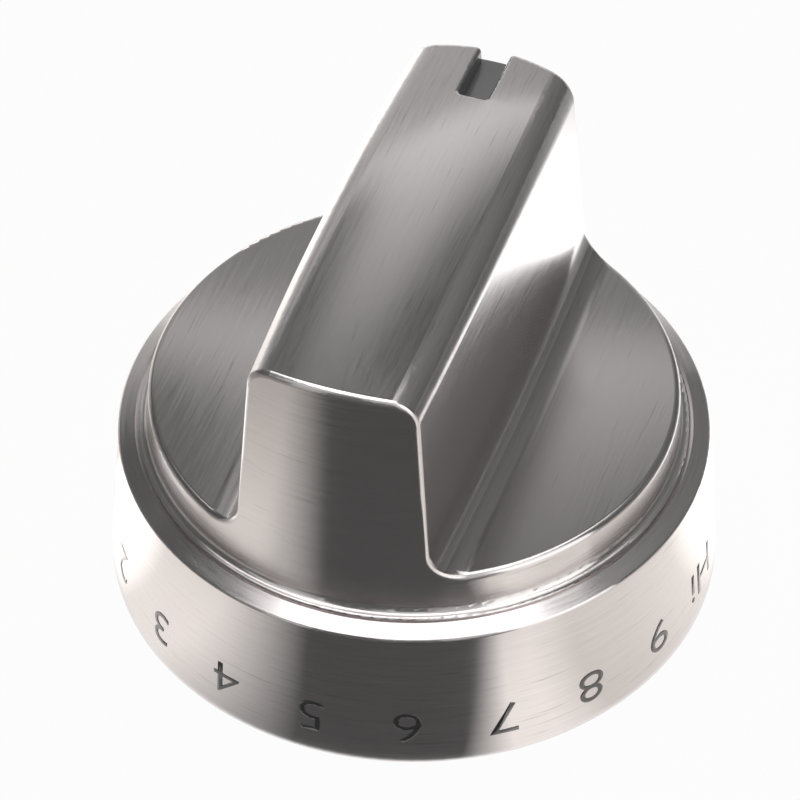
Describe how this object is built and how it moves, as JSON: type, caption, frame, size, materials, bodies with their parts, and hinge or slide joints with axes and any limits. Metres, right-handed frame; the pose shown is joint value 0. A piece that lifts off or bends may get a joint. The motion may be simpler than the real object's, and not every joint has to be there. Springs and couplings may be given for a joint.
{
  "type": "range burner knob",
  "caption": "Brushed metal range burner knob with a straight grip bar, a pointer slot, a numbered dial skirt and a D socket behind for a valve stem.",
  "frame": {"origin": "centre of the skirt's open rim, on the knob's axis", "axes": "+Z out of the knob's face, away from the appliance panel; the grip bar lies along Y and its pointer slot is at +Y; +X completes the right-handed frame"},
  "size_m": [0.0562, 0.0562, 0.0421],
  "materials": {
    "grip_metal": "brushed along the bar, with bright edges",
    "skirt_metal": "brushed round the wall",
    "hub_plastic": "moulded, satin black",
    "spring_steel": "rolled strip",
    "band_steel": "rolled strip, bright",
    "screw_zinc": "zinc plated"
  },
  "bodies": {
    "root": {"grip_body": "grip_metal", "skirt_ring": "skirt_metal", "hub_insert": "hub_plastic", "shaft_spring": "spring_steel", "hub_ferrule": "band_steel", "insert_screw_1": "screw_zinc", "insert_screw_2": "screw_zinc"}
  },
  "joints": []
}
